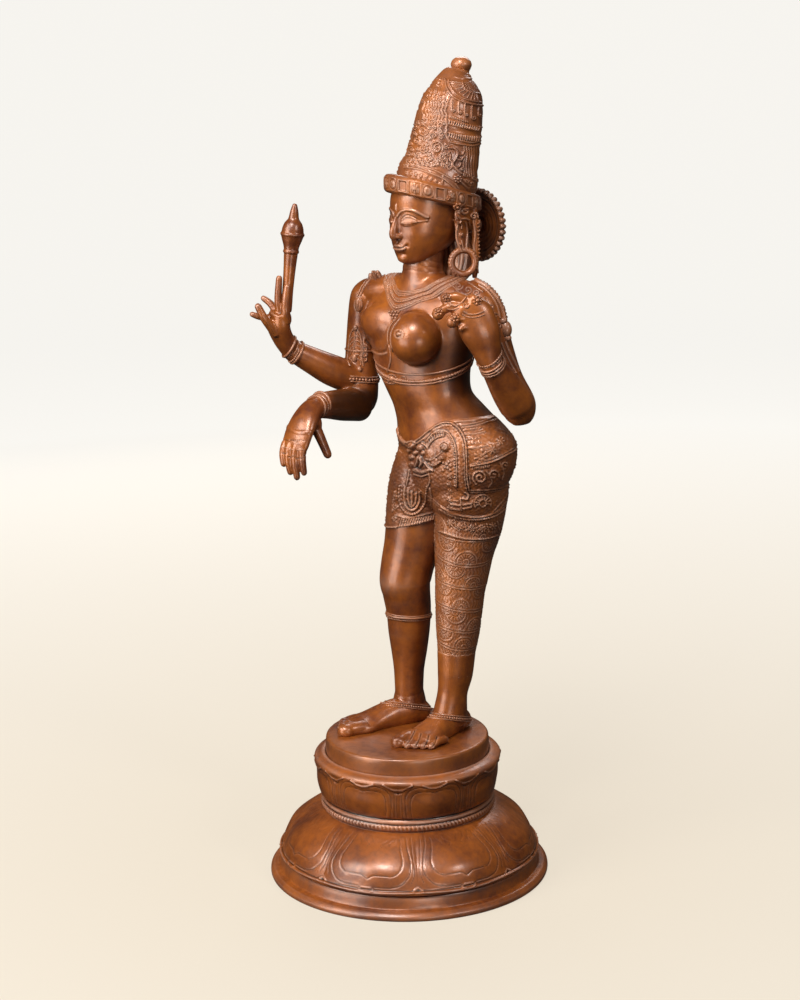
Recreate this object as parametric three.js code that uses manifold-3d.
// Ardhanarishvara statue: a cast bronze figure, half god and half goddess, on a round double-lotus plinth.
// Millimetres. +Z is up, the figure faces -Y, and its left (female) side is +X.
// The origin is the centre of the plinth's underside.
import * as THREE from 'three';
import { mergeVertices } from 'three/addons/utils/BufferGeometryUtils.js';
import Module from 'manifold-3d';

// Driving dimensions
const plinthRadius = 132.5;
const plinthTop = 115;
const petals = 8;
const upperPetalTurn = 35.6;      // degrees, where the first groove of the upper lotus stands
const lowerPetalTurn = 45.5;      // degrees, the same for the lower lotus
const segmentsPerPetal = 4;
const discRadius = 77;
const discTop = 134;
const seatGap = 0.3;              // between the disc's underside and the plinth
const headTurn = -10;             // degrees, the head looks a little to its right
const wheelRadius = 34;
const wheelScallops = 16;
const earringRadius = 10.8;
const ringWire = 2.6;
const fingerRadius = 4.2;
const bandHeight = 1.4;           // how far a raised band stands out of a limb

const rad = THREE.MathUtils.degToRad;
const wasm = await Module();
wasm.setup();

// Solids and booleans
function toSolid(geometry) {
  const bare = geometry.index ? geometry.toNonIndexed() : geometry.clone();
  for (const name of Object.keys(bare.attributes)) {
    if (name !== 'position') bare.deleteAttribute(name);
  }
  const merged = mergeVertices(bare, 1e-3);
  return new wasm.Manifold(new wasm.Mesh({
    numProp: 3,
    vertProperties: new Float32Array(merged.attributes.position.array),
    triVerts: new Uint32Array(merged.index.array),
  }));
}

function union(geometries) {
  return geometries.map(toSolid).reduce((whole, piece) => whole.add(piece));
}

function toGeometry(solid) {
  const mesh = solid.getMesh();
  const geometry = new THREE.BufferGeometry();
  geometry.setAttribute('position', new THREE.BufferAttribute(new Float32Array(mesh.vertProperties), 3));
  geometry.setIndex(new THREE.BufferAttribute(new Uint32Array(mesh.triVerts), 1));
  geometry.computeVertexNormals();
  return geometry;
}

// Gives each vertex of a geometry a new place
function bend(geometry, place) {
  const position = geometry.attributes.position;
  const point = new THREE.Vector3();
  for (let i = 0; i < position.count; i += 1) {
    point.fromBufferAttribute(position, i);
    const moved = place(point);
    position.setXYZ(i, moved.x, moved.y, moved.z);
  }
  return geometry;
}

// A limb: stations [x, y, z, half width, half depth] from one end to the other, joined by a smooth
// spline. Bands are raised rings [share of the length, half height of the ring, how far it stands out].
function limb(stations, { sides = 8, rows = 8, bands = [], side = [1, 0, 0], level = false, shape } = {}) {
  const spine = new THREE.CatmullRomCurve3(stations.map(([x, y, z]) => new THREE.Vector3(x, y, z)));
  const girth = new THREE.CatmullRomCurve3(stations.map(([, , , w, d]) => new THREE.Vector3(w, d, 0)));
  const shares = Array.from({ length: rows + 1 }, (_, i) => i / rows)
    .filter((t) => bands.every(([at, half]) => Math.abs(t - at) > half * 1.6));
  for (const [at, half] of bands) shares.push(at - half, at, at + half);
  shares.sort((a, b) => a - b);
  const reference = new THREE.Vector3(...side);
  const frames = shares.map((t) => {
    const along = level ? new THREE.Vector3(0, 0, 1) : spine.getTangent(t);
    const across = reference.clone().addScaledVector(along, -reference.dot(along)).normalize();
    const front = new THREE.Vector3().crossVectors(across, along);
    const size = girth.getPoint(t);
    const raised = bands.find(([at, half]) => Math.abs(t - at) < half * 0.5);
    const extra = raised ? (raised[2] ?? bandHeight) : 0;
    return { centre: spine.getPoint(t), across, front, w: size.x + extra, d: size.y + extra, t };
  });
  const tube = new THREE.CylinderGeometry(1, 1, 1, sides, shares.length - 1);
  return bend(tube, (p) => {
    const row = frames[Math.round((p.y + 0.5) * (shares.length - 1))];
    const swell = shape ? shape(Math.atan2(p.x, p.z), row.t) : 1;
    return row.centre.clone()
      .addScaledVector(row.across, p.x * row.w * swell)
      .addScaledVector(row.front, p.z * row.d * swell);
  });
}

// A finger, toe or cord: round, of an even thickness that thins to a blunt tip
function finger(points, radius, { sides = 4, tip = 0.6, rows = 2 } = {}) {
  const last = points.length - 1;
  const stations = points.map(([x, y, z], i) => {
    const r = radius * (i === last ? tip : 1);
    return [x, y, z, r, r];
  });
  return limb(stations, { sides, rows });
}

function lump([x, y, z], [a, b, c], { turn = 0, across = 5, down = 3 } = {}) {
  const ball = new THREE.SphereGeometry(1, across, down);
  ball.rotateX(Math.PI / 2);
  ball.scale(a, b, c);
  ball.rotateZ(rad(turn));
  ball.translate(x, y, z);
  return ball;
}

// A ring around a limb or the neck: half width and half depth of its centre line, a section of its own
function hoop([x, y, z], [w, d], [thick, tall], { drop = () => 0, tilt = [0, 0, 0], around = 12, section = 3 } = {}) {
  const ring = new THREE.TorusGeometry(1, 0.25, section, around);
  bend(ring, (p) => {
    const angle = Math.atan2(p.y, p.x);
    const out = (Math.hypot(p.x, p.y) - 1) / 0.25;
    return new THREE.Vector3(
      Math.cos(angle) * (w + out * thick),
      Math.sin(angle) * (d + out * thick),
      (p.z / 0.25) * tall + drop(angle),
    );
  });
  ring.rotateX(rad(tilt[0]));
  ring.rotateY(rad(tilt[1]));
  ring.rotateZ(rad(tilt[2]));
  ring.translate(x, y, z);
  return ring;
}

// A turned body whose radius may vary around it: profile [radius, height] from the lower to the upper axis
function turned(profile, segments, vary = (angle, height, radius) => radius, twist = () => 0) {
  const points = profile.map(([r, z]) => new THREE.Vector2(r, z));
  const body = new THREE.LatheGeometry(points, segments);
  return bend(body, (p) => {
    const radius = Math.hypot(p.x, p.z);
    const angle = Math.atan2(-p.z, p.x) + rad(twist(p.y));
    const wide = radius < 1e-6 ? 0 : vary(angle, p.y, radius);
    return new THREE.Vector3(Math.cos(angle) * wide, Math.sin(angle) * wide, p.y);
  });
}

// Plinth: a lower lotus opening downward, a beaded ring and an upper lotus opening upward
function petalWave(angle, turn) {
  const share = (((THREE.MathUtils.radToDeg(angle) - turn) * petals) / 360 % 1 + 1) % 1;
  return Math.pow(Math.abs(Math.sin(share * Math.PI)), 0.45);
}

function plinthSolid() {
  const step = 360 / (petals * segmentsPerPetal);
  const R = plinthRadius;
  const profile = [
    [0, 0], [R, 0], [R, 4.5], [R - 3.5, 7.5], [R - 8, 8.5], [R - 11.5, 20],
    [123, 22.5], [120.4, 28], [117.4, 34], [111.5, 43], [98.5, 56], [80, 64],
    [82.3, 67.5], [82.3, 73.5], [79.5, 76.5],
    [83, 79], [86, 92], [86.6, 105], [87.4, 111], [84.5, plinthTop], [0, plinthTop],
  ];
  const body = turned(profile, petals * segmentsPerPetal, (angle, height, radius) => {
    const lower = THREE.MathUtils.smoothstep(height, 18, 24) * (1 - THREE.MathUtils.smoothstep(height, 45, 64));
    const upper = THREE.MathUtils.smoothstep(height, 76, 82) * (1 - THREE.MathUtils.smoothstep(height, 110, 114));
    return radius
      - 4.6 * lower * (1 - petalWave(angle, lowerPetalTurn))
      - 2.8 * upper * (1 - petalWave(angle, upperPetalTurn));
  }, (height) => (height < 78 ? lowerPetalTurn : upperPetalTurn) % step);
  return toSolid(body);
}

// Disc under the feet, cast with the figure
function disc() {
  const low = plinthTop + seatGap;
  const profile = [
    [0, low], [discRadius - 0.6, low], [discRadius, low + 1], [discRadius, discTop - 2.2],
    [discRadius - 1.8, discTop], [0, discTop],
  ];
  return turned(profile, 24);
}

// Body, from the crotch to the neck
const torsoStations = [
  [24, 40, 356, 26, 22], [26, 41.5, 364, 42, 33], [28, 42.5, 377, 54, 40], [30, 43.5, 395, 59, 44],
  [29.5, 42.5, 413, 60.5, 44], [23, 38.5, 431, 54, 38], [16, 33.5, 446, 48, 34], [9.5, 27.5, 460, 44.5, 32],
  [5.5, 26, 475, 47.5, 33], [3, 26, 495, 54, 34.5], [2, 26, 515, 59, 35.5], [3, 27, 533, 61, 33],
  [4, 28, 545, 55, 28], [4, 28, 553, 38, 23.5], [4, 28, 560, 23, 20.5], [4, 28, 570, 18.8, 18.8],
  [5, 30, 592, 18, 19],
];

const shoulders = [
  [-52, 23.5, 547, 14, 12], [-40, 25, 550, 17, 12.5], [-22, 27, 553, 17, 12], [0, 28, 556, 18, 13],
  [24, 28, 554, 18, 13], [44, 27.5, 551, 18, 14], [60, 27, 547, 16, 14],
];

function torso() {
  return [
    limb(torsoStations, { sides: 12, rows: 13, level: true, bands: [[0.507, 0.012, 1.6]] }),
    limb(shoulders, { sides: 7, rows: 5, side: [0, 1, 0] }),
    lump([24, -6, 513], [24.5, 24.5, 24.5], { across: 9, down: 6 }),
    lump([-22, 3, 522], [28, 14, 19], { across: 7, down: 4 }),
  ];
}

// Legs, from the ankle up
const rightLeg = [
  [-26, 33, 139, 14, 18], [-26, 33, 148, 15.5, 17.5], [-24.7, 31.6, 163, 12.8, 14.8],
  [-23.9, 31, 183, 13.5, 15.5], [-22.5, 30.4, 205, 16.3, 18.6], [-21.3, 29.2, 224, 18.6, 21.2],
  [-20, 27.5, 246, 20.5, 22.4], [-19.3, 24, 264, 22.2, 23.2], [-19.5, 22.8, 275, 23.8, 25],
  [-18.2, 25, 290, 25, 25.4], [-15, 28.3, 309, 26.6, 26.6], [-12, 31, 330, 28.4, 28.6],
  [-9.5, 33.5, 350, 29.5, 31.5], [-5, 36, 372, 29.5, 35], [0, 39, 398, 26, 34],
];
const leftLeg = [
  [29, 28, 142, 14.5, 19], [29.4, 29.2, 154, 14.8, 17.6], [31, 30.6, 172, 13.6, 15.2],
  [32.6, 33, 190, 16, 17.4], [32.9, 35, 213, 17.4, 19.2], [33.4, 36.8, 232, 19, 21],
  [33.6, 38.3, 251, 20.4, 22.4], [33.8, 40, 271, 22.2, 23.4], [34.9, 42.2, 290, 24.4, 25.4],
  [35.8, 44.3, 309, 27, 27], [37.5, 47.2, 328, 30.4, 30.4], [39.4, 48.5, 348, 33, 32.6],
  [40, 45.5, 370, 37, 39], [38, 44, 396, 36, 38],
];
const drapeBands = [0.055, 0.22, 0.34, 0.46, 0.58, 0.7];

function legs() {
  return [
    limb(rightLeg, { sides: 10, rows: 10, bands: [[0.06, 0.016, 2], [0.42, 0.016, 1.4], [0.77, 0.01, 1.2]] }),
    limb(leftLeg, { sides: 10, rows: 6, bands: drapeBands.map((at) => [at, 0.012, 1]) }),
    lump([-26, 5, 239], [3, 3, 5]),
  ];
}

// A foot stands flat: heel and toe are the ends of its middle line. The big toe is on the inner side,
// and the four small toes are one row whose front swells at each toe.
function foot(heel, toe, inner) {
  const length = Math.hypot(toe[0] - heel[0], toe[1] - heel[1]);
  const turn = Math.atan2(toe[0] - heel[0], heel[1] - toe[1]);
  const sole = discTop - 1.5;
  const smallToes = Array.from({ length: 9 }, (_, i) => {
    const swell = i % 2 ? 1 : 0.72;
    return [inner * (7 - i * 3.4), -length + 3 + i * 1.7, sole + 3, 3.6 * swell, 9.5 * swell];
  });
  const pieces = [
    limb([
      [0, 10, sole + 6, 5, 5], [0, 5, sole + 8, 11, 10], [0, -8, sole + 10, 13.5, 14], [0, -24, sole + 10, 14, 15],
      [0, -41, sole + 8, 15.5, 12.5], [0, -56, sole + 4.5, 19, 8], [-inner, -70, sole + 3, 20.5, 6],
      [-inner * 2, -77, sole + 3, 18, 4],
    ], { sides: 8, rows: 7 }),
    lump([inner * 14, 8 - length, sole + 4], [6.2, 12, 5.4]),
    limb(smallToes, { sides: 5, rows: 8, side: [0, 0, 1] }),
  ];
  return pieces.map((piece) => piece.rotateZ(turn).translate(heel[0], heel[1], 0));
}

function feet() {
  return [...foot([-18, 38], [-52, -40], 1), ...foot([27, 44], [34, -36], -1)];
}

// Right side: one upper arm that parts at the elbow into a raised and a lowered forearm
const rightUpperArm = [
  [-53, 23, 555, 8, 8], [-56, 23, 550, 12.5, 13], [-60, 22, 541, 15.5, 17], [-63, 21, 524, 15.2, 16.5],
  [-65, 19, 500, 15, 15.5], [-65, 17, 480, 15, 15.5], [-62, 14, 462, 15.5, 16], [-60, 11, 447, 15.5, 15.5],
  [-58, 9, 439, 12, 12], [-58, 8, 434, 6, 6],
];
const raisedForearm = [
  [-60, 20, 470, 9, 9], [-67, 7, 467, 15, 15], [-74, -10, 474, 14.5, 15], [-82, -31, 486, 12.2, 12.6],
  [-91, -52, 499, 9.6, 9.8],
];
const loweredForearm = [
  [-58, 14, 440, 9, 9], [-58, 7, 441, 14.5, 15], [-56, -16, 445, 14.5, 15], [-53, -41, 449, 12.6, 13],
  [-51, -58, 451, 11, 11.5],
];
const leftUpperArm = [
  [58, 27, 555, 9, 9], [66, 26.5, 552, 15, 15], [73, 26, 542, 19, 19], [78, 28.5, 526, 18.6, 18.6],
  [83.5, 33, 504, 16.4, 16.6], [91, 40, 476, 15, 15], [98.5, 46.5, 453, 16.4, 16.4], [101, 48, 441, 13, 13],
  [102, 48.5, 434.5, 7, 7],
];
const leftForearm = [
  [100, 49, 446, 11, 11], [100, 43, 454, 16.4, 16.4], [99.5, 33, 466, 15.6, 15.6], [99, 18, 484, 12.6, 12.6],
  [98, 7, 499, 10.2, 10.2],
];

function arms() {
  return [
    limb(rightUpperArm, { rows: 7, bands: [[0.47, 0.03, 2.4], [0.6, 0.016, 1.6]] }),
    limb(raisedForearm, { rows: 4, bands: [[0.9, 0.035, 1.6]] }),
    limb(loweredForearm, { rows: 4, bands: [[0.91, 0.035, 1.8]] }),
    limb(leftUpperArm, { rows: 7, bands: [[0.55, 0.03, 2.2]] }),
    limb(leftForearm, { rows: 4, bands: [[0.88, 0.04, 2]] }),
    lump([-69, 5, 511], [5, 6, 13], { turn: 30 }),
  ];
}

// Hands
function loweredHand() {
  return [
    limb([[-51, -54, 451, 10.5, 10], [-50, -68, 449, 12, 9], [-49, -80, 439, 14.5, 8], [-48.5, -89, 424, 14, 6.5],
      [-48.5, -91, 418, 13, 5]], { sides: 8, rows: 4 }),
    finger([[-59, -91, 424], [-59.5, -97, 414], [-58, -97, 403]], fingerRadius),
    finger([[-52, -92, 423], [-51, -97, 409], [-49, -95, 395]], fingerRadius),
    finger([[-45, -91, 422], [-43.5, -95, 407], [-42, -93, 392]], fingerRadius),
    finger([[-38.5, -88, 423], [-37, -91, 411], [-36.5, -89, 398]], fingerRadius),
    finger([[-46, -71, 443], [-40, -69, 427], [-33, -65, 408]], fingerRadius * 1.15),
  ];
}

function raisedHand() {
  return [
    limb([[-90, -49, 497, 9.6, 9.6], [-92, -58, 509, 10.5, 9], [-92, -64, 522, 12.5, 8.5],
      [-89, -65, 534, 10, 7.5]], { sides: 8, rows: 4 }),
    finger([[-89, -64, 529], [-90, -65, 548], [-89.5, -63.5, 565]], fingerRadius),
    finger([[-82, -63, 529], [-83.5, -64, 546], [-84.5, -62, 559]], fingerRadius),
    finger([[-94, -62, 532], [-101, -64, 541], [-107, -67, 546]], fingerRadius * 0.95),
    finger([[-96, -67, 527], [-100, -77, 531], [-106, -83, 533]], fingerRadius * 0.9),
    finger([[-92, -71, 518], [-93, -80, 530], [-97, -84, 541]], fingerRadius * 1.1),
  ];
}

function flowerHand() {
  const facing = [0.74, 0.67, 0];
  return [
    limb([[98, 8, 496, 10.5, 10], [97, 4, 510, 13.5, 9.5], [95, -1, 524, 17, 9.5], [91, -5, 538, 17, 8.5],
      [86, -9, 547, 12, 7]], { sides: 8, rows: 4, side: facing }),
    finger([[88, -4, 547], [82, -12, 555], [72, -19, 555]], fingerRadius * 1.1),
    finger([[84, -10, 543], [76, -20, 545], [67, -27, 538]], fingerRadius * 1.1),
    finger([[86, -10, 533], [80, -20, 533], [72, -22, 528]], fingerRadius),
    finger([[90, -8, 524], [84, -17, 524], [77, -19, 520]], fingerRadius * 0.9),
    lump([88, -7, 551], [5, 5, 4.4]),
  ];
}

// The staff-like attribute with a spindle head and a pointed tip, upright in the raised hand
function attribute() {
  const foot = new THREE.Vector3(-88, -57.5, 534);
  const tip = new THREE.Vector3(-80, -50, 632);
  const length = foot.distanceTo(tip);
  const profile = [
    [0, 0], [6, 0], [6, 4], [4.8, 6], [5.2, 47], [6.4, 50], [8.6, 58], [10.6, 66], [10.4, 70], [6.4, 82],
    [4.6, 85], [1.4, length - 1], [0, length],
  ];
  const staff = turned(profile, 8);
  const lean = new THREE.Quaternion().setFromUnitVectors(
    new THREE.Vector3(0, 0, 1), tip.clone().sub(foot).normalize());
  staff.applyQuaternion(lean).translate(foot.x, foot.y, foot.z);
  return staff;
}

// Head: the parts are made around the middle of the head, facing -Y, then turned and set in place
const headPlace = [7, 35, 612];

function head() {
  const skull = limb([
    [-2, -21, -35.5, 7, 6.5], [-2, -18, -32.5, 14, 13.5], [-1.5, -13, -26, 20.5, 21], [-1, -7, -17, 26, 29.5],
    [-0.5, -3, -7, 29.5, 35], [0, -1, 2, 31, 38], [0.5, 0, 12, 32, 39], [1, 1, 24, 33, 39],
    [2, 3, 35, 33.5, 37], [3, 5, 44, 32, 34],
  ], { sides: 12, rows: 8, level: true });
  const nose = limb([
    [0, -37, 12, 2.4, 2.5], [0, -39, 5, 2.6, 3.4], [0, -41.5, -3, 3.6, 4], [0, -41, -8.5, 5.6, 5.2],
    [0, -38.5, -11.5, 4.6, 3],
  ], { sides: 5, rows: 4 });
  const pieces = [skull, nose];
  pieces.push(lump([-0.8, -36, -17.6], [8.2, 3.6, 2.1]));
  pieces.push(lump([-0.8, -35, -21.4], [6.6, 3.8, 2.2]));
  for (const mirror of [-1, 1]) {
    pieces.push(lump([mirror * 12.6, -34.6, 4.4], [7.6, 2.8, 3.2], { turn: mirror * 20, across: 6 }));
    pieces.push(lump([mirror * 31.5, 9, 3], [4, 7.5, 12], { turn: mirror * 15, down: 5 }));
    pieces.push(limb([[mirror * 33, 8, -6, 3, 4], [mirror * 34.5, 8, -15, 2.6, 3.4], [mirror * 35.5, 8, -24, 2.8, 3.6]],
      { sides: 5, rows: 2 }));
    const ring = new THREE.TorusGeometry(earringRadius, ringWire, 4, 12);
    ring.rotateX(Math.PI / 2).rotateZ(rad(mirror * 62)).translate(mirror * 37, 8, -33.5);
    pieces.push(ring);
    pieces.push(lump([mirror * 33, 10, 15], [5, 7, 5]));
  }
  return pieces.map((piece) => piece.rotateZ(rad(headTurn)).translate(...headPlace));
}

// Crown of matted locks and jewels, leaning back, with a thick band round its foot
const crownStations = [
  [9, 39, 640, 36.5, 36.5], [11, 42, 652, 36.8, 36.8], [12.6, 45.2, 665, 33.4, 33.4], [13.4, 48.2, 677, 31.8, 31.8],
  [14.8, 51.2, 690, 31, 31], [15.4, 54, 703, 30, 30], [16.2, 56.6, 714, 28.4, 28.4], [16.9, 59.4, 724, 26, 26],
  [17.3, 61.4, 734, 20.8, 20.8], [18, 63.4, 741, 15.4, 15.4], [19, 65.4, 745.5, 10.2, 10.2],
];

function crown() {
  const tiers = [0.3, 0.78];
  const shape = (angle, t) => 1 + 0.022 * Math.cos(angle * 6) * Math.sin(t * Math.PI);
  const band = hoop([8, 38.5, 645], [36, 41], [5.6, 8.4], {
    drop: (angle) => 5 * Math.cos(angle + Math.PI / 2) - 1, tilt: [0, 4, headTurn], around: 16, section: 4,
  });
  return [
    limb(crownStations, { sides: 12, rows: 6, shape, bands: tiers.map((at) => [at, 0.022, 1.1]) }),
    lump([19.4, 66.4, 750.5], [9.2, 9.2, 8.5], { across: 7, down: 4 }),
    band,
    lump([0.6, -5, 652], [5, 4, 7]),
  ];
}

// Wheel of light behind the head, with a scalloped edge and a dished front, on a short stem
function wheel() {
  const profile = [
    [0, -3.5], [wheelRadius - 1, -3], [wheelRadius, 3.2], [wheelRadius - 9, 0.6], [0, 0.2],
  ];
  const scalloped = turned(profile, wheelScallops * 2, (angle, height, radius) => (
    radius < wheelRadius - 3 ? radius : radius - 0.9 + 0.9 * Math.cos(angle * wheelScallops)));
  scalloped.rotateX(Math.PI / 2).rotateZ(rad(headTurn / 2)).translate(15, 94, 606);
  return [
    scalloped,
    limb([[9, 66, 612, 12, 14], [12, 80, 610, 9, 9], [15, 93, 606, 10, 10]], { sides: 6, rows: 2 }),
  ];
}

// Necklaces, shoulder tassels and locks
function ornaments() {
  const front = (angle) => Math.max(0, -Math.sin(angle));
  return [
    hoop([4, 26, 560], [24, 22], [2.6, 2.4], { drop: (a) => -6 * front(a) }),
    hoop([4, 23, 556], [34, 28], [3.6, 3], { drop: (a) => -13 * front(a) ** 2 }),
    lump([-1, -4, 535], [5, 5, 7]),
    finger([[-40, 17, 563], [-52, 12, 553], [-60, 6, 541]], 3, { tip: 0.8 }),
    lump([-41, 17, 566], [7, 6, 6]),
    lump([-62, 4, 535], [4.5, 4.5, 7]),
    limb([[46, 30, 560, 6, 4], [60, 36, 561, 8, 5], [76, 40, 553, 8, 5], [86, 42, 539, 7, 5], [91, 43, 524, 7, 4],
      [94, 44, 512, 5, 4]], { sides: 5, rows: 5, side: [0, 1, 0] }),
    lump([97, 46, 511], [6, 6, 9]),
  ];
}

// Belt, clasp, hanging sash loop and the knot beside it
function beltAndSash() {
  const belt = hoop([27, 40.5, 418], [57, 40.5], [3, 4.6], {
    drop: (angle) => -9 * Math.max(0, -Math.sin(angle)) ** 2, around: 16, section: 4,
  });
  return [
    belt,
    lump([19, -5, 404], [11, 7, 13], { across: 6, down: 4 }),
    limb([[34, -3, 404, 4, 3.6], [45, -2.5, 416, 4, 3.6], [57, 2, 412, 4, 3.6], [62, 6, 396, 4, 3.6],
      [61, 8, 374, 4, 3.6], [58, 10, 358, 3, 3]], { sides: 4, rows: 6, side: [0, 0, 1] }),
    lump([38, -3, 405], [10, 5, 9], { turn: 10 }),
    lump([-6, 4, 350], [7, 4, 12], { turn: -20 }),
  ];
}

const bronze = new THREE.MeshStandardMaterial({ color: 0x8b4a24, roughness: 0.38, metalness: 0.9 });
const plinthBronze = new THREE.MeshStandardMaterial({ color: 0x7e4220, roughness: 0.42, metalness: 0.9 });

const figureSolid = union([
  disc(), ...torso(), ...legs(), ...feet(), ...arms(), ...loweredHand(), ...raisedHand(), ...flowerHand(),
  attribute(), ...head(), ...crown(), ...wheel(), ...ornaments(), ...beltAndSash(),
]);

const figure = new THREE.Mesh(toGeometry(figureSolid), bronze);
figure.name = 'figure';
const plinth = new THREE.Mesh(toGeometry(plinthSolid()), plinthBronze);
plinth.name = 'plinth';

const statue = new THREE.Group();
statue.add(plinth, figure);
export default statue;
